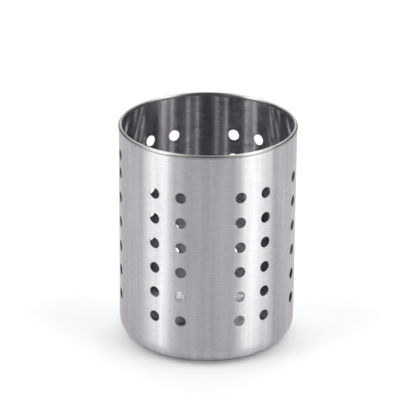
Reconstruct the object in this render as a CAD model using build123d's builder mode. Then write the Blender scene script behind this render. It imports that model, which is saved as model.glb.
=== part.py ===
from build123d import *
import os
from math import acos, cos, degrees, floor, radians, sin

# A perforated stainless steel cup that holds cutlery on end while it drains.
# Millimetres, +Z up. The origin is the middle of the face that it stands on.
# Angles go round from the front, which faces -Y, and are positive towards +X.

# The whole cup
rim_diameter = 95.0        # over the bead, which is the widest place
cup_height = 120.0         # from the standing face to the top of the bead
sheet_thickness = 0.5      # the same sheet makes the wall and the base

# The mouth, where the sheet is rolled inwards round a wire
bead_diameter = 2.2
bead_stand_out = 0.25      # how far the bead stands out past the wall
curl_free_edge = 258.0     # angle of the sheet's free edge round the bead
wire_clearance = 0.05      # between the wire and the curl, all round

# The pressed base, welded edge to edge under the wall
corner_radius = 10.0       # outside of the bend between the base and its collar
collar_height = 4.0        # straight part of the base above that bend
foot_width = 3.5           # flat ring that the cup stands on
panel_rise = 1.2           # how far the middle of the base is pressed up
panel_slope_width = 4.0    # from the foot to the raised panel
panel_bend_radius = 2.0    # of the sheet's lower face, at both ends of the slope

# Holes, all from one punch
hole_diameter = 6.0
pair_spacing = 15.3        # between the two columns of a pair, along the wall
row_pitch = 14.05
top_row_depth = 24.3       # from the top of the bead to the first row
lowest_row_margin = 5.0    # least metal between a hole and the base's weld
pair_angles = (-147.5, -86.3, -26.2, 30.8, 82.4, 153.2)
extra_hole_pair = 1        # the pair whose front column has one hole more
extra_hole_rise = 10.0     # from the first row up to that hole
drain_rings = 2            # round the one hole in the middle
drain_edge_margin = 2.0    # least metal between a drain hole and the slope

# What follows from them
wall_radius = rim_diameter / 2 - bead_stand_out
inner_radius = wall_radius - sheet_thickness
bead_radius = bead_diameter / 2
curl_bore_radius = bead_radius - sheet_thickness
bead_axis_radius = rim_diameter / 2 - bead_radius
bead_axis_height = cup_height - bead_radius
weld_height = corner_radius + collar_height
foot_radius = wall_radius - corner_radius
panel_radius = foot_radius - foot_width - panel_slope_width
hole_radius = hole_diameter / 2
drain_ring_pitch = (panel_radius - drain_edge_margin - hole_radius) / drain_rings
half_pair_angle = degrees(pair_spacing / 2 / wall_radius)


def bead_point(radius, angle):
    """A point of the rim's section, at an angle from outwards round the bead."""
    across = bead_axis_radius + radius * cos(radians(angle))
    up = bead_axis_height + radius * sin(radians(angle))
    return (across, up)


def column_angles():
    """The angles of all the hole columns, two for each pair."""
    angles = []
    for pair in pair_angles:
        angles += [pair - half_pair_angle, pair + half_pair_angle]
    return angles


def row_heights():
    """The heights of the rows, from the top one down to the base's weld."""
    top = cup_height - top_row_depth
    lowest = weld_height + lowest_row_margin + hole_radius
    rows = floor((top - lowest) / row_pitch) + 1
    return [top - row * row_pitch for row in range(rows)]


def punch_place(angle, height):
    """Where the punch starts: on the cup's axis, pointing out through the wall."""
    return Location((0, 0, height), (90, angle, 0))


# The wall: a rolled and welded tube, with the curl at its mouth.
# Its section is the straight sheet and, from where that meets the bead, the curl.
outer_meeting = -degrees(acos((wall_radius - bead_axis_radius) / bead_radius))
inner_meeting = -degrees(acos((inner_radius - bead_axis_radius) / curl_bore_radius))

wall_places = [punch_place(angle, height) for angle in column_angles() for height in row_heights()]
extra_angle = pair_angles[extra_hole_pair] + half_pair_angle
extra_height = row_heights()[0] + extra_hole_rise
wall_places.append(punch_place(extra_angle, extra_height))

with BuildPart() as perforated_wall:
    with BuildSketch(Plane.XZ):
        with BuildLine():
            Polyline(
                bead_point(curl_bore_radius, inner_meeting),
                (inner_radius, weld_height),
                (wall_radius, weld_height),
                bead_point(bead_radius, outer_meeting),
            )
            bead_centre = (bead_axis_radius, bead_axis_height)
            CenterArc(bead_centre, bead_radius, outer_meeting, curl_free_edge - outer_meeting)
            Line(bead_point(bead_radius, curl_free_edge), bead_point(curl_bore_radius, curl_free_edge))
            CenterArc(bead_centre, curl_bore_radius, curl_free_edge, inner_meeting - curl_free_edge)
        make_face()
    revolve(axis=Axis.Z)
    with Locations(wall_places):
        Cylinder(
            hole_radius,
            rim_diameter / 2,
            align=(Align.CENTER, Align.CENTER, Align.MIN),
            mode=Mode.SUBTRACT,
        )

# The wire that the rim is rolled round, which keeps the mouth stiff and round.
with BuildPart() as rim_wire:
    with BuildSketch(Plane.XZ):
        with Locations((bead_axis_radius, bead_axis_height)):
            Circle(curl_bore_radius - wire_clearance)
    revolve(axis=Axis.Z)

# The base: a shallow pressed pan, raised in the middle so that it drains.
# Its lower face is drawn, and the sheet's thickness is laid on top of that.
with BuildPart() as base_pan:
    with BuildSketch(Plane.XZ):
        with BuildLine():
            FilletPolyline(
                (0, panel_rise),
                (panel_radius, panel_rise),
                (panel_radius + panel_slope_width, 0),
                (wall_radius, 0),
                (wall_radius, weld_height),
                radius=[panel_bend_radius, panel_bend_radius, corner_radius],
            )
            offset(amount=sheet_thickness, side=Side.LEFT)
        make_face()
    revolve(axis=Axis.Z)
    with Locations((0, 0, panel_rise)):
        Hole(hole_radius)
    for ring in range(1, drain_rings + 1):
        with Locations((0, 0, panel_rise)):
            with PolarLocations(ring * drain_ring_pitch, 6 * ring):
                Hole(hole_radius)

os.makedirs("parts", exist_ok=True)
perforated_wall.part.label = "perforated_wall"
export_step(perforated_wall.part, "parts/perforated_wall.step")
rim_wire.part.label = "rim_wire"
export_step(rim_wire.part, "parts/rim_wire.step")
base_pan.part.label = "base_pan"
export_step(base_pan.part, "parts/base_pan.step")
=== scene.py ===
# %% [markdown]
# A perforated steel cup for draining cutlery.
# The real cup is a punched sheet of stainless steel, rolled to a tube, with its top edge rolled over
# a wire and a pressed base welded on under it. The solids come from CAD and fix every size. This
# script gives them their looks, so it starts by loading them and noting the box that they fill.

# %% Load the solids
import math

import bmesh
import bpy
from mathutils import Matrix, Vector


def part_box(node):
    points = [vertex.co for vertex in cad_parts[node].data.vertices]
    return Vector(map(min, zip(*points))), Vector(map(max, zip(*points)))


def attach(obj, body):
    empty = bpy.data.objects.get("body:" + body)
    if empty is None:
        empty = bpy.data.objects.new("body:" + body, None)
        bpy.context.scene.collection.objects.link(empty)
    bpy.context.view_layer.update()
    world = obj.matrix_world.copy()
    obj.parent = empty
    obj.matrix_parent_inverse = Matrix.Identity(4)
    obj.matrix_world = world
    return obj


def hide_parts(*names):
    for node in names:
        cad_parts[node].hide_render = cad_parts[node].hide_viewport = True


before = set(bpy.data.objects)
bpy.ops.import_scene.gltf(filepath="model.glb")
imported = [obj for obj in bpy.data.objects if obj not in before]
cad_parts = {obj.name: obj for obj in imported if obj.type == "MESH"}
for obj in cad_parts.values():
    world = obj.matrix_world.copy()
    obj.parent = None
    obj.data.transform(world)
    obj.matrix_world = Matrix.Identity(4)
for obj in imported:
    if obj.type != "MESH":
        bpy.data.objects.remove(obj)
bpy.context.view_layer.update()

# %% [markdown]
# All sizes are in metres. Each could be typed in again, but then a change to the solids would leave
# the pieces made here behind. So the large sizes are read from the solids, and only the small ones,
# which a box does not show, are written here as they are in the solids.
# Angles go round the cup from the front, which faces -Y, and are positive towards +X.

# %% Sizes of the cup
MM = 0.001
SHEET = 0.5 * MM
BEAD_RADIUS = 1.1 * MM
WALL_LOW, WALL_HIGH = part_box("perforated_wall")
BEAD_OUTSIDE = WALL_HIGH.x
CUP_HEIGHT = WALL_HIGH.z
WELD_HEIGHT = WALL_LOW.z
WALL_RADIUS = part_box("base_pan")[1].x
INNER_RADIUS = WALL_RADIUS - SHEET
BEAD_AXIS_RADIUS = BEAD_OUTSIDE - BEAD_RADIUS
BEAD_AXIS_HEIGHT = CUP_HEIGHT - BEAD_RADIUS
print(f"rim {2 * BEAD_OUTSIDE / MM:.1f} mm, wall {2 * WALL_RADIUS / MM:.1f} mm across")
print(f"height {CUP_HEIGHT / MM:.1f} mm, weld of the base at {WELD_HEIGHT / MM:.1f} mm")

# %% [markdown]
# The real holes come from one round punch. They stand in six pairs of columns, which are not quite
# evenly spaced, and one column has a hole more at its top. They could be placed by their angles on
# the round wall. Here they are marked out on the flat sheet, each as a distance along the sheet and
# a height, because the sheet is punched while it is still flat.

# %% Places of the holes
HOLE_RADIUS = 3.0 * MM
PAIR_SPACING = 15.3 * MM
PAIR_ANGLES = (-147.5, -86.3, -26.2, 30.8, 82.4, 153.2)
ROWS = 6
ROW_PITCH = 14.05 * MM
TOP_ROW_DEPTH = 24.3 * MM
# The pair, counted from 0, whose front column has the extra hole.
EXTRA_HOLE_PAIR = 1
EXTRA_HOLE_RISE = 10.0 * MM

half_pair = PAIR_SPACING / 2
columns = sorted(
    math.radians(pair) * WALL_RADIUS + side * half_pair
    for pair in PAIR_ANGLES
    for side in (-1, 1)
)
top_row = CUP_HEIGHT - TOP_ROW_DEPTH
rows = [top_row - row * ROW_PITCH for row in range(ROWS)]
extra_column = math.radians(PAIR_ANGLES[EXTRA_HOLE_PAIR]) * WALL_RADIUS + half_pair
extra_height = top_row + EXTRA_HOLE_RISE
hole_centres = [(column, height) for column in columns for height in rows]
hole_centres.append((extra_column, extra_height))
print("holes in the wall:", len(hole_centres))

# %% [markdown]
# Materials come first, so that each piece can be given its own as it is made. They could be built by
# hand in the Shader Editor. Two small functions do it here, so that every value stays in view: one
# turns a hex colour, as it is read from a picture, into the linear values that the renderer works
# with, and one adds a node of any kind with its settings and links.

# %% Helpers for the materials
def linear(hex_colour):
    """A #RRGGBB colour as linear red, green, blue and alpha, by the formula of the sRGB standard."""
    values = [int(hex_colour[start:start + 2], 16) / 255 for start in (1, 3, 5)]
    colour = [
        value / 12.92 if value <= 0.04045 else ((value + 0.055) / 1.055) ** 2.4
        for value in values
    ]
    return colour + [1.0]


def add(tree, kind, settings=None, **inputs):
    """A node of that kind. An input is a value, or the socket of another node that feeds it.

    The word i0 names the first input, i1 the second, and an underscore stands for a space.
    """
    node = tree.nodes.new(kind)
    for name, value in (settings or {}).items():
        setattr(node, name, value)
    for name, value in inputs.items():
        numbered = name[0] == "i" and name[1:].isdigit()
        key = int(name[1:]) if numbered else name.replace("_", " ")
        if isinstance(value, bpy.types.NodeSocket):
            tree.links.new(value, node.inputs[key])
        else:
            node.inputs[key].default_value = value
    return node


def maths(tree, operation, first, second=0.0):
    """The result of one sum on one or two numbers or sockets."""
    return add(tree, "ShaderNodeMath", {"operation": operation}, i0=first, i1=second).outputs[0]


print("middle grey #808080 is", round(linear("#808080")[0], 3), "of full light")

# %% [markdown]
# The steel has marks of three sizes. A belt that ran round the cup left scratches a few hundredths
# of a millimetre wide. They are too fine for the picture, so they are drawn as lines some tenths of
# a millimetre wide. Rolled sheet also has faint upright streaks a few millimetres wide, which show
# where a reflection is even, and the belt left patches that are a little smoother. Each could be an
# image, but noise that is stretched by its real size needs none and has no seam.

# %% Marks in the steel
# A line is six times as long as it is wide. Detail is how many finer layers a noise has.
LINE_LENGTH = 6.0
LINE_DETAIL = 3.0
STREAK_WIDTH = 5.0 * MM
STREAK_HEIGHT = 150.0 * MM
STREAK_TONE = 1.2
STREAK_DETAIL = 2.0
PATCH_SIZE = 16.0 * MM
PATCHINESS = 0.02
PATCH_DETAIL = 3.0


def marks(tree, place, around, up, detail):
    """Noise whose marks are about that long round the cup and that high."""
    size = (1 / around, 1 / around, 1 / up)
    stretched = add(tree, "ShaderNodeMapping", Vector=place, Scale=size).outputs[0]
    noise = add(tree, "ShaderNodeTexNoise", Vector=stretched, Scale=1.0, Detail=detail)
    return noise.outputs[0]


print(f"streaks {STREAK_WIDTH / MM:.0f} mm wide, patches {PATCH_SIZE / MM:.0f} mm")

# %% [markdown]
# Stainless steel is a metal, so all that the eye gets from it is its reflection. What tells one
# finish from another is how that reflection is smeared. Scratches that run round the cup smear it up
# and down but hardly sideways, which is why brushed cups show clean upright bands. Thousands of
# modelled scratches would do the same, but the shader has this built in as anisotropy. Its tangent
# says which way the scratches run, and a quarter turn sets the smear across them.

# %% Stainless steel
ACROSS_THE_LINES = 0.25


def steel(name, dark, light, roughness, anisotropy, line_width, line_depth, line_tone):
    """Stainless steel with lines round the cup, which have that width, depth and share of the tone."""
    material = bpy.data.materials.new(name)
    material.use_nodes = True
    tree = material.node_tree
    tree.nodes.clear()
    place = add(tree, "ShaderNodeTexCoord").outputs["Object"]
    lines = marks(tree, place, LINE_LENGTH * line_width, line_width, LINE_DETAIL)
    streaks = marks(tree, place, STREAK_WIDTH, STREAK_HEIGHT, STREAK_DETAIL)
    patches = marks(tree, place, PATCH_SIZE, PATCH_SIZE, PATCH_DETAIL)

    # A noise is a half on average. What is taken off keeps the mix half way between the two tones.
    line_share = maths(tree, "MULTIPLY", lines, line_tone)
    streak_share = maths(tree, "MULTIPLY", streaks, STREAK_TONE)
    light_share = maths(tree, "ADD", line_share, streak_share)
    light_share = maths(tree, "SUBTRACT", light_share, (line_tone + STREAK_TONE - 1) / 2)
    tone = add(
        tree,
        "ShaderNodeMix",
        {"data_type": "RGBA"},
        Factor=light_share,
        A=linear(dark),
        B=linear(light),
    )
    spread = add(
        tree,
        "ShaderNodeMapRange",
        Value=patches,
        To_Min=roughness - PATCHINESS,
        To_Max=roughness + PATCHINESS,
    )
    relief = add(tree, "ShaderNodeBump", Height=lines, Strength=1.0, Distance=line_depth)
    tangent = add(tree, "ShaderNodeTangent", {"direction_type": "RADIAL", "axis": "Z"})
    shader = add(
        tree,
        "ShaderNodeBsdfPrincipled",
        Base_Color=tone.outputs["Result"],
        Metallic=1.0,
        Roughness=spread.outputs[0],
        Anisotropic=anisotropy,
        Anisotropic_Rotation=ACROSS_THE_LINES,
        Tangent=tangent.outputs[0],
        Normal=relief.outputs[0],
    )
    add(tree, "ShaderNodeOutputMaterial", Surface=shader.outputs[0])
    return material


# The outside of the sheet, brushed with a belt: broad, soft and pale upright bands, and a fine
# grain that lies level.
satin_steel = steel(
    "brushed stainless steel",
    dark="#AEABB0",
    light="#DAD7DC",
    roughness=0.35,
    anisotropy=1.0,
    line_width=0.7 * MM,
    line_depth=0.008 * MM,
    line_tone=0.8,
)
print(satin_steel.name, "has", len(satin_steel.node_tree.nodes), "nodes")

# %% [markdown]
# The cup is one grade of steel, but its surfaces were worked in different ways, so each has its own
# material. One material with a mask would do too. Separate ones are simpler to read, and a piece
# takes them face by face. Every line width here is coarser than the real scratches, as said above.

# %% The other finishes of the cup
# The inside, brushed less and shinier: narrow, sharp bands on a dark ground, broken by coarse lines.
inside_steel = steel(
    "brushed stainless steel, inside",
    dark="#98959B",
    light="#E0DDE3",
    roughness=0.185,
    anisotropy=1.0,
    line_width=0.8 * MM,
    line_depth=0.02 * MM,
    line_tone=2.0,
)
# The bead, rubbed smooth as it was rolled: a thin bright line round the rim, with hardly any grain.
bead_steel = steel(
    "brushed stainless steel, bead",
    dark="#9D9B9E",
    light="#AFADB0",
    roughness=0.32,
    anisotropy=0.95,
    line_width=0.3 * MM,
    line_depth=0.001 * MM,
    line_tone=0.8,
)
# The walls of the holes, torn by the punch and not brushed: dull, dark and without a direction.
# The same darker steel is also painted shade in the corner under the rim's bead.
edge_and_shade_steel = steel(
    "punched stainless steel edge",
    dark="#767476",
    light="#969496",
    roughness=0.35,
    anisotropy=0.0,
    line_width=0.2 * MM,
    line_depth=0.002 * MM,
    line_tone=0.8,
)
# The wire in the rim, drawn through a die: smooth and grey. The bead hides it.
wire_steel = steel(
    "drawn steel wire",
    dark="#9A989C",
    light="#AEACB0",
    roughness=0.28,
    anisotropy=0.5,
    line_width=0.3 * MM,
    line_depth=0.002 * MM,
    line_tone=0.8,
)
finishes = (satin_steel, inside_steel, bead_steel, edge_and_shade_steel, wire_steel)
print("finishes:", [finish.name for finish in finishes])

# %% [markdown]
# The wall starts flat, as the real one does: a sheet marked out with ruled lines, then punched and
# rolled. Holes cut by a boolean would leave long thin faces that spoil the reflections of a
# polished sheet. So the lines are ruled to suit: a cell of sixteen by sixteen squares round each
# hole's centre, and wider strips between the cells. The ten by ten squares in the middle of a cell
# are the hole. They are taken out later, the rings of squares round them are pulled towards
# circles, and every face that is left is a clean four-sided one.

# %% Rule the lines
# A ring is one square wide, counted from the hole's centre.
HOLE_RINGS = 5
CELL_RINGS = 8
SQUARE = HOLE_RADIUS / HOLE_RINGS
CELL_HALF = SQUARE * CELL_RINGS
WIDEST_STRIP = 2.0 * MM
# Lets a space that is a whole number of strips wide keep that number.
ROUNDING = 1e-6


def strips(low, high):
    """Even steps from low to high, without low, none wider than WIDEST_STRIP."""
    count = max(1, math.ceil((high - low) / WIDEST_STRIP - ROUNDING))
    return [low + (high - low) * step / count for step in range(1, count + 1)]


def ruled(low, high, centres):
    """Line places from low to high: squares over each centre's cell, and strips between the cells."""
    places = [low]
    for centre in sorted(centres):
        places += strips(places[-1], centre - CELL_HALF)
        places += [centre + SQUARE * step for step in range(1 - CELL_RINGS, CELL_RINGS + 1)]
    return places + strips(places[-1], high)


# The wall ends this far under the bead's axis, inside the metal of the bead.
WALL_END_DROP = 0.6 * MM
half_round = math.pi * WALL_RADIUS
wall_top = BEAD_AXIS_HEIGHT - WALL_END_DROP
across = ruled(-half_round, half_round, columns)
up = ruled(WELD_HEIGHT, wall_top, rows + [extra_height])
print(f"{len(across)} by {len(up)} lines, squares of {SQUARE / MM:.2f} mm")

# %% [markdown]
# The flat sheet is a grid whose lines are not evenly spaced. Blender's own Grid has even lines only,
# so the points and faces are written out, row by row.

# %% The flat sheet
def sheet_mesh(across, up):
    """A flat mesh in the XZ plane, with a line at each place across and up. Its faces look to -Y."""
    mesh = bpy.data.meshes.new("ruled_sheet")
    points = [(x, 0, z) for z in up for x in across]
    width = len(across)
    faces = []
    for row in range(len(up) - 1):
        for column in range(width - 1):
            corner = row * width + column
            faces.append((corner, corner + 1, corner + width + 1, corner + width))
    mesh.from_pydata(points, [], faces)
    return mesh


flat_sheet = sheet_mesh(across, up)
print("flat sheet:", len(flat_sheet.polygons), "faces")

# %% [markdown]
# Geometry Nodes do the punching and rolling, because every hole follows the same rule. A loop in
# Python could move each point as well. A tree of nodes states the rule once, and can be opened and
# changed in Blender. It starts with its named inputs: the holes' centres, the sizes and a material
# for each kind of face. The centres come in as an object with a point for each hole, so that the
# same tree can punch any pattern.

# %% Inputs of the punching tree
SIZE = "NodeSocketFloat"
MATERIAL = "NodeSocketMaterial"


def new_tree(name, sockets):
    """A Geometry Nodes tree with those inputs, as (name, socket type), after the geometry."""
    tree = bpy.data.node_groups.new(name, "GeometryNodeTree")
    face = tree.interface
    face.new_socket("Geometry", in_out="INPUT", socket_type="NodeSocketGeometry")
    for label, kind in sockets:
        face.new_socket(label, in_out="INPUT", socket_type=kind)
    face.new_socket("Geometry", in_out="OUTPUT", socket_type="NodeSocketGeometry")
    return tree


punch = new_tree(
    "punch_and_roll",
    [
        ("Hole centres", "NodeSocketObject"),
        ("Hole radius", SIZE),
        ("Cell half", SIZE),
        ("Wall radius", SIZE),
        ("Thickness", SIZE),
        ("Outside", MATERIAL),
        ("Inside", MATERIAL),
        ("Edge", MATERIAL),
    ],
)
given = punch.nodes.new("NodeGroupInput").outputs
position = add(punch, "GeometryNodeInputPosition").outputs[0]
print("inputs of punch_and_roll:", [socket.name for socket in given if socket.name])

# %% [markdown]
# A real punch is set down on each mark in turn. Here each point of the sheet looks up the mark that
# is nearest to it, and works out how far off it is and which ring of squares it is in. The ring is
# the larger of the two distances, along and up, which is the same all round a square.

# %% Which ring of squares a point is in
def vector_maths(tree, operation, first, second=(0, 0, 0)):
    """The result of one sum on one or two vectors."""
    node = add(tree, "ShaderNodeVectorMath", {"operation": operation}, i0=first, i1=second)
    return node.outputs["Value" if operation == "LENGTH" else "Vector"]


centres = add(punch, "GeometryNodeObjectInfo", Object=given["Hole centres"]).outputs["Geometry"]
nearest = add(punch, "GeometryNodeSampleNearest", Geometry=centres).outputs[0]
centre = add(
    punch,
    "GeometryNodeSampleIndex",
    {"data_type": "FLOAT_VECTOR"},
    Geometry=centres,
    Value=position,
    Index=nearest,
).outputs[0]
offset = vector_maths(punch, "SUBTRACT", position, centre)
sides = add(punch, "ShaderNodeSeparateXYZ", Vector=offset).outputs
along = maths(punch, "ABSOLUTE", sides["X"])
upward = maths(punch, "ABSOLUTE", sides["Z"])
ring = maths(punch, "MAXIMUM", along, upward)
print("nodes so far:", len(punch.nodes))

# %% [markdown]
# The slugs that fall out of the real sheet are the faces inside each hole. They go first, while the
# rings are still square, because one comparison then picks them exactly. The rings that are left
# are pulled towards circles: fully at the hole's edge, and less and less out to the cell's border,
# which stays square and so still meets its neighbours.

# %% Punch the holes
# Points nearer to each other than this are one point.
SAME_POINT = 0.001 * MM

in_hole = add(punch, "FunctionNodeCompare", {"operation": "LESS_THAN"}, A=ring, B=given["Hole radius"])
holed = add(
    punch,
    "GeometryNodeDeleteGeometry",
    {"domain": "FACE"},
    Geometry=given["Geometry"],
    Selection=in_hole.outputs[0],
)
keep_square = add(
    punch,
    "ShaderNodeMapRange",
    {"interpolation_type": "LINEAR"},
    Value=ring,
    From_Min=given["Hole radius"],
    From_Max=given["Cell half"],
).outputs[0]
distance = maths(punch, "MAXIMUM", vector_maths(punch, "LENGTH", offset), SAME_POINT)
to_circle = maths(punch, "DIVIDE", ring, distance)
make_round = maths(punch, "SUBTRACT", 1.0, keep_square)
pull = maths(punch, "ADD", maths(punch, "MULTIPLY", to_circle, make_round), keep_square)
scaled = add(punch, "ShaderNodeVectorMath", {"operation": "SCALE"}, Vector=offset, Scale=pull)
own_centre = vector_maths(punch, "SUBTRACT", position, offset)
rounded = vector_maths(punch, "ADD", own_centre, scaled.outputs[0])
circled = add(punch, "GeometryNodeSetPosition", Geometry=holed.outputs[0], Position=rounded)
print("nodes so far:", len(punch.nodes))

# %% [markdown]
# Rollers bend the real sheet to a tube, and its ends are welded. A Simple Deform or Curve modifier
# could bend it here. A few sums do it exactly: a distance along the sheet, divided by the radius, is
# an angle round the axis. The first and last lines then fall together and are merged.

# %% Roll the sheet
flat = add(punch, "ShaderNodeSeparateXYZ", Vector=position).outputs
angle = maths(punch, "DIVIDE", flat["X"], given["Wall radius"])
to_the_front = maths(punch, "MULTIPLY", given["Wall radius"], -1.0)
east = maths(punch, "MULTIPLY", maths(punch, "SINE", angle), given["Wall radius"])
north = maths(punch, "MULTIPLY", maths(punch, "COSINE", angle), to_the_front)
bent = add(punch, "ShaderNodeCombineXYZ", X=east, Y=north, Z=flat["Z"]).outputs[0]
rolled = add(punch, "GeometryNodeSetPosition", Geometry=circled.outputs[0], Position=bent)
tube = add(punch, "GeometryNodeMergeByDistance", Geometry=rolled.outputs[0], Distance=SAME_POINT)
print("nodes so far:", len(punch.nodes))

# %% [markdown]
# The sheet is half a millimetre thick, and that shows at every hole. A Solidify modifier could add
# it, but it would not say which faces are the holes' walls. Extruding does: a flipped copy of the
# tube is extruded and its new faces are pushed in towards the axis, and the faces at its sides are
# the walls of the holes and the two ends. Each kind of face takes its own material.

# %% Give the sheet its thickness
flipped = add(punch, "GeometryNodeFlipFaces", Mesh=tube.outputs[0]).outputs[0]
pushed = add(
    punch,
    "GeometryNodeExtrudeMesh",
    {"mode": "FACES"},
    Mesh=flipped,
    Offset_Scale=0.0,
    Individual=False,
)
level = vector_maths(punch, "MULTIPLY", position, (1, 1, 0))
outwards = vector_maths(punch, "NORMALIZE", level)
inwards_by = maths(punch, "MULTIPLY", given["Thickness"], -1.0)
step_in = add(
    punch,
    "ShaderNodeVectorMath",
    {"operation": "SCALE"},
    Vector=outwards,
    Scale=inwards_by,
)
inside = add(
    punch,
    "GeometryNodeSetPosition",
    Geometry=pushed.outputs["Mesh"],
    Selection=pushed.outputs["Top"],
    Offset=step_in.outputs[0],
)
lined = add(
    punch,
    "GeometryNodeSetMaterial",
    Geometry=inside.outputs[0],
    Material=given["Inside"],
)
edged = add(
    punch,
    "GeometryNodeSetMaterial",
    Geometry=lined.outputs[0],
    Selection=pushed.outputs["Side"],
    Material=given["Edge"],
)
outer = add(
    punch,
    "GeometryNodeSetMaterial",
    Geometry=tube.outputs[0],
    Material=given["Outside"],
)
print("nodes so far:", len(punch.nodes))

# %% [markdown]
# At last the outside and the rest are joined, and the points that they share are merged, so that
# the wall is one closed skin. It could be left as two, but its open edges would show in a mesh that
# is printed or measured. Instances are made real, because the export drops them.

# %% Finish the punching tree
both = add(punch, "GeometryNodeJoinGeometry")
punch.links.new(outer.outputs[0], both.inputs[0])
punch.links.new(edged.outputs[0], both.inputs[0])
whole = add(punch, "GeometryNodeMergeByDistance", Geometry=both.outputs[0], Distance=SAME_POINT)
smooth = add(punch, "GeometryNodeSetShadeSmooth", Geometry=whole.outputs[0])
real = add(punch, "GeometryNodeRealizeInstances", Geometry=smooth.outputs[0])
add(punch, "NodeGroupOutput", Geometry=real.outputs[0])
print("tree punch_and_roll:", len(punch.nodes), "nodes")

# %% [markdown]
# Now the tree is run, as a modifier on the flat sheet. It could stay on as one, but a plain mesh is
# what the steps after this need, so the result is taken as one and the modifier goes. So does the
# object that holds the holes' centres.

# %% Punch and roll the wall
def show(name, data):
    """A new object in the scene, at the origin."""
    piece = bpy.data.objects.new(name, data)
    bpy.context.scene.collection.objects.link(piece)
    return piece


def plain_copy(piece, name):
    """The piece's mesh as its modifiers leave it, as a mesh of its own."""
    graph = bpy.context.evaluated_depsgraph_get()
    made = bpy.data.meshes.new_from_object(piece.evaluated_get(graph))
    made.name = name
    return made


def run_tree(tree, mesh, values, name):
    """The mesh after the tree, as a plain mesh object that has no modifier."""
    worker = show(name + "_before", mesh)
    modifier = worker.modifiers.new(tree.name, "NODES")
    modifier.node_group = tree
    items = tree.interface.items_tree
    sockets = {item.name: item.identifier for item in items if item.in_out == "INPUT"}
    for label, value in values.items():
        modifier[sockets[label]] = value
    made = plain_copy(worker, name)
    bpy.data.objects.remove(worker)
    return show(name, made)


centre_mesh = bpy.data.meshes.new("hole_centres")
centre_mesh.from_pydata([(x, 0, z) for x, z in hole_centres], [], [])
centre_points = show("hole_centres", centre_mesh)
wall = run_tree(
    punch,
    flat_sheet,
    {
        "Hole centres": centre_points,
        "Hole radius": HOLE_RADIUS,
        "Cell half": CELL_HALF,
        "Wall radius": WALL_RADIUS,
        "Thickness": SHEET,
        "Outside": satin_steel,
        "Inside": inside_steel,
        "Edge": edge_and_shade_steel,
    },
    "punched_wall",
)
bpy.data.objects.remove(centre_points)
print("wall:", len(wall.data.polygons), "faces")

# %% [markdown]
# A punch leaves a slightly rounded edge, which catches a thin line of light. A Bevel modifier makes
# it, and weights on the edges tell it where: only between a face of the sheet and a hole. The
# sheet's own ends stay sharp, so that the welded joint under the wall does not show as a groove.
# Hardened normals keep the flat faces next to the soft edge shading as flat ones.

# %% Soft edges round the holes
SHARP_ANGLE = math.radians(35)
EDGE_SOFTNESS = 0.12 * MM
EDGE_FACETS = 2
# Places less than this apart count as one, in the tests and the clean-up of the meshes.
NEAR = 0.01 * MM


def soften_hole_edges(piece, edge_material, is_end):
    """Rounds the edges where a hole's wall meets another face, except where is_end(a, b) is true."""
    mesh = piece.data
    mesh.set_sharp_from_angle(angle=SHARP_ANGLE)
    edge_slot = list(mesh.materials).index(edge_material)
    work = bmesh.new()
    work.from_mesh(mesh)
    weight = work.edges.layers.float.new("bevel_weight_edge")
    chosen = 0
    for edge in work.edges:
        in_hole = [face.material_index == edge_slot for face in edge.link_faces]
        on_rim = any(in_hole) and not all(in_hole)
        if on_rim and not is_end(*(point.co for point in edge.verts)):
            edge[weight] = 1.0
            chosen += 1
    work.to_mesh(mesh)
    work.free()
    bevel = piece.modifiers.new("soft edges", "BEVEL")
    bevel.limit_method = "WEIGHT"
    bevel.width = EDGE_SOFTNESS
    bevel.segments = EDGE_FACETS
    bevel.harden_normals = True
    made = plain_copy(piece, piece.name)
    piece.modifiers.remove(bevel)
    piece.data = made
    return chosen


def at_wall_end(a, b):
    """Whether an edge lies along the wall's lower or upper end."""
    return any(abs(a.z - end) < NEAR and abs(b.z - end) < NEAR for end in (WELD_HEIGHT, wall_top))


softened = soften_hole_edges(wall, edge_and_shade_steel, at_wall_end)
print("wall:", len(wall.data.polygons), "faces,", softened, "edges softened")

# %% [markdown]
# The rim and the base are round, so each is one outline turned about the axis, like a pot on a
# wheel. A Screw modifier could turn it. Here the points are worked out one by one, because then
# each line of the outline can take its own material, and the last faces close on the first ones
# without a seam.

# %% Turned shapes
TURN_STEPS = 288


def turned(name, outline, materials):
    """A closed outline of (radius, height) points turned round the axis, a material for each line."""
    mesh = bpy.data.meshes.new(name)
    points = []
    for step in range(TURN_STEPS):
        turn = 2 * math.pi * step / TURN_STEPS
        points += [(r * math.sin(turn), -r * math.cos(turn), z) for r, z in outline]
    count = len(outline)
    faces = []
    for step in range(TURN_STEPS):
        here = step * count
        there = (step + 1) % TURN_STEPS * count
        for first in range(count):
            second = (first + 1) % count
            faces.append((here + first, there + first, there + second, here + second))
    mesh.from_pydata(points, [], faces)
    used = []
    for material in materials:
        if material not in used:
            used.append(material)
            mesh.materials.append(material)
    for index, face in enumerate(mesh.polygons):
        face.material_index = used.index(materials[index % count])
        face.use_smooth = True
    return show(name, mesh)


def arc(centre, radius, start, end, steps):
    """Points of an arc in the section, with its angles in degrees from outwards."""
    turns = [math.radians(start + (end - start) * step / steps) for step in range(steps + 1)]
    return [(centre[0] + radius * math.cos(t), centre[1] + radius * math.sin(t)) for t in turns]


print(f"a turned step on the wall is {2 * math.pi * WALL_RADIUS / TURN_STEPS / MM:.2f} mm")

# %% [markdown]
# The rim is the sheet rolled inwards over a wire. A plain ring would look the same from above, but
# the mesh is also looked at on its own, so its section is the real one: a long arc of sheet. It
# starts where the wall runs into it, goes over the top and ends under the bead on the inside, a
# little off the wall. The first few lines of the outline are the corner between the wall and the
# bead. Little light gets in there, so they are given the darker steel of the punched edges as
# painted shade.

# %% The rolled rim
CURL_FREE_EDGE = 258.0
BEAD_STEPS = 40
# How many lines of the outline, in the corner under the bead, are painted shade.
SHADED_CORNER_LINES = 3

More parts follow.
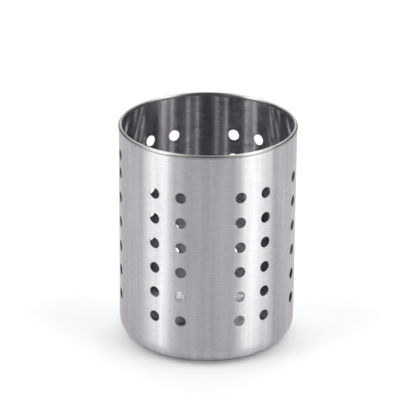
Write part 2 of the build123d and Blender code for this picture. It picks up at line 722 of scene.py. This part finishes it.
bead_centre = (BEAD_AXIS_RADIUS, BEAD_AXIS_HEIGHT)
curl_bore = BEAD_RADIUS - SHEET
outer_start = -math.degrees(math.acos((WALL_RADIUS - BEAD_AXIS_RADIUS) / BEAD_RADIUS))
inner_start = -math.degrees(math.acos((INNER_RADIUS - BEAD_AXIS_RADIUS) / curl_bore))
outline = arc(bead_centre, BEAD_RADIUS, outer_start, CURL_FREE_EDGE, BEAD_STEPS)
outline += arc(bead_centre, curl_bore, CURL_FREE_EDGE, inner_start, BEAD_STEPS)
# Painted shade: the corner lines take the darker edge steel, the rest the bead's steel.
bead_materials = [edge_and_shade_steel] * SHADED_CORNER_LINES + [bead_steel] * (len(outline) - SHADED_CORNER_LINES)
rim = turned("rolled_rim", outline, bead_materials)
rim.data.set_sharp_from_angle(angle=SHARP_ANGLE)
print("rim:", len(rim.data.polygons), "faces")

# %% [markdown]
# The base is pressed from the same sheet: a large rounded corner, a flat ring to stand on and a
# raised middle that lets the water run to the drain holes. Its lower face could be drawn by hand as
# a curve. Here it is a path through a few corners, each rounded by its own radius, as a drawing of
# the press tool would give it, and the sheet's thickness is laid on top of it.

# %% Helpers for the section of the base
def rounded_path(corners, radii, steps):
    """A path of (radius, height) points through the corners, each inner one rounded by its radius."""
    path = [Vector(corners[0])]
    for before, here, after, radius in zip(corners, corners[1:], corners[2:], radii):
        inwards = (Vector(before) - Vector(here)).normalized()
        onwards = (Vector(after) - Vector(here)).normalized()
        half = inwards.angle(onwards) / 2
        centre = Vector(here) + (inwards + onwards).normalized() * radius / math.sin(half)
        start = Vector(here) + inwards * radius / math.tan(half)
        end = Vector(here) + onwards * radius / math.tan(half)
        first = math.degrees(math.atan2(start.y - centre.y, start.x - centre.x))
        last = math.degrees(math.atan2(end.y - centre.y, end.x - centre.x))
        sweep = (last - first + 180) % 360 - 180
        path += [Vector(point) for point in arc(centre, radius, first, first + sweep, steps)]
    path.append(Vector(corners[-1]))
    return path


def sheet_outline(path, thickness):
    """The closed outline of a sheet whose lower face follows the path."""
    upper = []
    for index, point in enumerate(path):
        before = path[max(0, index - 1)]
        after = path[min(len(path) - 1, index + 1)]
        along = (after - before).normalized()
        upper.append(point + Vector((-along.y, along.x)) * thickness)
    return [tuple(point) for point in path] + [tuple(point) for point in reversed(upper)]


sample = rounded_path([(0, 0), (1, 0), (1, 1)], [0.5], 4)
print("a square corner, rounded in four steps, has", len(sample), "points")

# %% [markdown]
# The section starts a little off the axis, inside the middle drain hole, so that no faces meet in
# one point. It ends at the weld. The underside and the outside are brushed like the wall, the upper
# side is like the inside of the cup, and the line at the weld is a cut edge.

# %% The undrilled base
CORNER_RADIUS = 10.0 * MM
FOOT_WIDTH = 3.5 * MM
PANEL_RISE = 1.2 * MM
SLOPE_WIDTH = 4.0 * MM
SLOPE_BEND = 2.0 * MM
BEND_STEPS = 16
SECTION_START = 1.0 * MM

panel_radius = WALL_RADIUS - CORNER_RADIUS - FOOT_WIDTH - SLOPE_WIDTH
pan_path = rounded_path(
    [
        (SECTION_START, PANEL_RISE),
        (panel_radius, PANEL_RISE),
        (panel_radius + SLOPE_WIDTH, 0),
        (WALL_RADIUS, 0),
        (WALL_RADIUS, WELD_HEIGHT),
    ],
    [SLOPE_BEND, SLOPE_BEND, CORNER_RADIUS],
    BEND_STEPS,
)
pan_outline = sheet_outline(pan_path, SHEET)
pan_materials = [satin_steel] * (len(pan_path) - 1) + [edge_and_shade_steel] + [inside_steel] * len(pan_path)
plain_pan = turned("plain_pan", pan_outline, pan_materials)
print("base section:", len(pan_outline), "points")

# %% [markdown]
# The drain holes stand in rings round the middle one, six in the first ring and twelve in the
# second. Ruling the lines to suit, as for the wall, would be hard on a turned piece. Here a boolean
# does no harm, because the middle of the base is flat and its thin faces all look the same way. So
# the tree sets a round cutter on each place and takes it away from the base.

# %% The tree that drills the base
DRAIN_RINGS = 2
FIRST_RING_HOLES = 6
DRAIN_EDGE_MARGIN = 2.0 * MM
CUTTER_SIDES = 48
CUTTER_DEPTH = 8 * PANEL_RISE

drill = new_tree(
    "drain_holes",
    [("Hole radius", SIZE), ("Ring pitch", SIZE), ("Cutter depth", SIZE), ("Edge", MATERIAL)],
)
given = drill.nodes.new("NodeGroupInput").outputs
spots = add(drill, "GeometryNodeJoinGeometry")
middle = add(drill, "GeometryNodeMeshLine", Count=1)
drill.links.new(middle.outputs[0], spots.inputs[0])
for number in range(1, DRAIN_RINGS + 1):
    radius = maths(drill, "MULTIPLY", given["Ring pitch"], float(number))
    holes = FIRST_RING_HOLES * number
    circle = add(drill, "GeometryNodeMeshCircle", Vertices=holes, Radius=radius)
    drill.links.new(circle.outputs[0], spots.inputs[0])
cutter = add(
    drill,
    "GeometryNodeMeshCylinder",
    Vertices=CUTTER_SIDES,
    Radius=given["Hole radius"],
    Depth=given["Cutter depth"],
).outputs[0]
cutter = add(drill, "GeometryNodeSetMaterial", Geometry=cutter, Material=given["Edge"]).outputs[0]
cutters = add(drill, "GeometryNodeInstanceOnPoints", Points=spots.outputs[0], Instance=cutter)
cutters = add(drill, "GeometryNodeRealizeInstances", Geometry=cutters.outputs[0]).outputs[0]
drilled = add(drill, "GeometryNodeMeshBoolean", {"operation": "DIFFERENCE", "solver": "EXACT"})
drill.links.new(given["Geometry"], drilled.inputs["Mesh 1"])
drill.links.new(cutters, drilled.inputs["Mesh 2"])
real = add(drill, "GeometryNodeRealizeInstances", Geometry=drilled.outputs[0])
add(drill, "NodeGroupOutput", Geometry=real.outputs[0])
print("tree drain_holes:", len(drill.nodes), "nodes")

# %% [markdown]
# The cutters leave some needle-thin faces where they pass close by a line of the base. They would
# make a poor mesh for anyone who takes it further, so they are dissolved. Then the edges of the
# holes are softened as on the wall, but not the line at the weld.

# %% Drill the base
pan = run_tree(
    drill,
    plain_pan.data,
    {
        "Hole radius": HOLE_RADIUS,
        "Ring pitch": (panel_radius - DRAIN_EDGE_MARGIN - HOLE_RADIUS) / DRAIN_RINGS,
        "Cutter depth": CUTTER_DEPTH,
        "Edge": edge_and_shade_steel,
    },
    "pressed_base",
)
bpy.data.objects.remove(plain_pan)

work = bmesh.new()
work.from_mesh(pan.data)
bmesh.ops.dissolve_degenerate(work, dist=NEAR, edges=work.edges)
work.to_mesh(pan.data)
work.free()


def at_weld(a, b):
    """Whether an edge lies along the top of the base, where the wall is welded on."""
    return min(a.z, b.z) > WELD_HEIGHT - NEAR


softened = soften_hole_edges(pan, edge_and_shade_steel, at_weld)
print("base:", len(pan.data.polygons), "faces,", softened, "edges softened")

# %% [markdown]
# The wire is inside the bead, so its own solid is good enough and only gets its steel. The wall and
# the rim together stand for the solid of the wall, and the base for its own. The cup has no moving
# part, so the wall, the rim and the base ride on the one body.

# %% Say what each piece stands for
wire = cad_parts["rim_wire"]
wire.data.materials.clear()
wire.data.materials.append(wire_steel)
for piece, node in ((wall, "perforated_wall"), (rim, "perforated_wall"), (pan, "base_pan")):
    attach(piece, "root")
    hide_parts(node)
    print(piece.name, "replaces", node)

# %% [markdown]
# The cup stands on a plain white ground that runs on past the picture. A curved backdrop would hide
# a horizon, but the camera looks down, so one large square is enough. White paper scatters all the
# light that falls on it, and shows the eye only the soft shadow round the foot of the cup.

# %% The floor
FLOOR_HALF = 6.0
FLOOR_ROUGHNESS = 0.9
FLOOR_SHINE = 0.1

floor_mesh = bpy.data.meshes.new("floor")
floor_corners = [(FLOOR_HALF * x, FLOOR_HALF * y, 0) for x, y in ((-1, -1), (1, -1), (1, 1), (-1, 1))]
floor_mesh.from_pydata(floor_corners, [], [(0, 1, 2, 3)])
floor_material = bpy.data.materials.new("white paper")
floor_material.use_nodes = True
paper = floor_material.node_tree.nodes["Principled BSDF"]
paper.inputs["Base Color"].default_value = linear("#FCFBFF")
paper.inputs["Roughness"].default_value = FLOOR_ROUGHNESS
paper.inputs["Specular IOR Level"].default_value = FLOOR_SHINE
floor_mesh.materials.append(floor_material)
floor = show("floor", floor_mesh)
print(f"floor: {2 * FLOOR_HALF:.0f} m square")

# %% [markdown]
# Steel shows the room more than itself, so the lights are placed for their reflections. A photo of
# a room, wrapped round the scene, would do that at once, but it could not be set to this one cup.
# A tall and a low soft light to each side make the two bright bands on the wall. One far behind the
# cup draws the bright line along the top of the rim. Four higher ones, to the sides and behind,
# light the floor. None hangs straight above or in front, so that the middle of the wall and the
# back of the rim keep their darker tone. A grey world fills in the rest.

# %% The lights
LIGHT_TINT = "#FBFEF8"
WORLD_TONE = "#5A585D"


def soft_light(name, azimuth, elevation, distance, width, height, radiance):
    """An area light that looks at the cup. Azimuth 0 is on the camera's side, positive towards +X."""
    data = bpy.data.lights.new(name, "AREA")
    data.shape = "RECTANGLE"
    data.size = width
    data.size_y = height
    data.energy = radiance * math.pi * width * height
    data.color = linear(LIGHT_TINT)[:3]
    turn, rise = math.radians(azimuth), math.radians(elevation)
    away = Vector((math.sin(turn) * math.cos(rise), -math.cos(turn) * math.cos(rise), math.sin(rise)))
    light = show(name, data)
    light.location = away * distance + Vector((0, 0, CUP_HEIGHT / 2))
    light.rotation_euler = away.to_track_quat("Z", "Y").to_euler()


# Azimuth and elevation in degrees, distance, width and height in metres, then how bright it looks.
soft_light("left softbox", -61, 16, 1.2, 0.44, 0.64, 4.3)
soft_light("left low softbox", -77, 7, 1.2, 0.25, 0.26, 3.9)
soft_light("right softbox", 57, 16, 1.2, 0.50, 0.64, 4.0)
soft_light("right low softbox", 76, 7, 1.2, 0.31, 0.26, 4.0)
soft_light("back softbox", 180, 33, 1.6, 0.9, 1.2, 1.6)
soft_light("upper left softbox", -80, 55, 1.6, 1.2, 1.0, 2.9)
soft_light("upper right softbox", 80, 55, 1.6, 1.2, 1.0, 3.0)
soft_light("upper back left softbox", -150, 52, 1.6, 0.9, 0.9, 1.9)
soft_light("upper back right softbox", 150, 52, 1.6, 0.9, 0.9, 2.1)

world = bpy.data.worlds.new("studio")
bpy.context.scene.world = world
world.use_nodes = True
world.node_tree.nodes["Background"].inputs["Color"].default_value = linear(WORLD_TONE)
world.node_tree.nodes["Background"].inputs["Strength"].default_value = 1.0
print("lights:", [light.name for light in bpy.data.lights])

# %% [markdown]
# The photograph was taken from a little above, with a long lens, so the cup hardly narrows towards
# its foot. The camera could be set by eye. These values were fitted, so that the outline, the mouth
# and the rows of holes fall as near to the photograph's as the cup's sizes allow: the lens in
# pixels, how far away and how high the camera is, a small roll, and the pixel at which the middle
# of the cup appears.

# %% The camera
FOCAL_PIXELS = 2480.0
FRAME_PIXELS = 416.0
CAMERA_DISTANCE = 1.333
CAMERA_ELEVATION = 23.66
CAMERA_ROLL = 0.486
TARGET_HEIGHT = 60.0 * MM
TARGET_PIXEL = Vector((206.855, 226.618))
FRAME_CENTRE = Vector((207.5, 207.5))
SENSOR_WIDTH = 36.0
CLIP_END = 100.0

camera_data = bpy.data.cameras.new("camera")
camera_data.sensor_width = SENSOR_WIDTH
camera_data.lens = FOCAL_PIXELS / FRAME_PIXELS * SENSOR_WIDTH
camera_data.clip_end = CLIP_END
camera = show("camera", camera_data)
lift = math.radians(CAMERA_ELEVATION)
target = Vector((0, 0, TARGET_HEIGHT))
eye = target + CAMERA_DISTANCE * Vector((0, -math.cos(lift), math.sin(lift)))
off_centre = (TARGET_PIXEL - FRAME_CENTRE) / FOCAL_PIXELS
look = Matrix.Rotation(math.pi / 2 - lift, 4, "X")
tilt = Matrix.Rotation(math.atan(off_centre.y), 4, "X")
swing = Matrix.Rotation(math.atan(off_centre.x), 4, "Y")
roll = Matrix.Rotation(math.radians(CAMERA_ROLL), 4, "Z")
camera.matrix_world = Matrix.Translation(eye) @ look @ tilt @ swing @ roll
bpy.context.scene.camera = camera
bpy.context.scene.view_settings.view_transform = "Standard"
print("camera at", [round(value, 4) for value in eye])
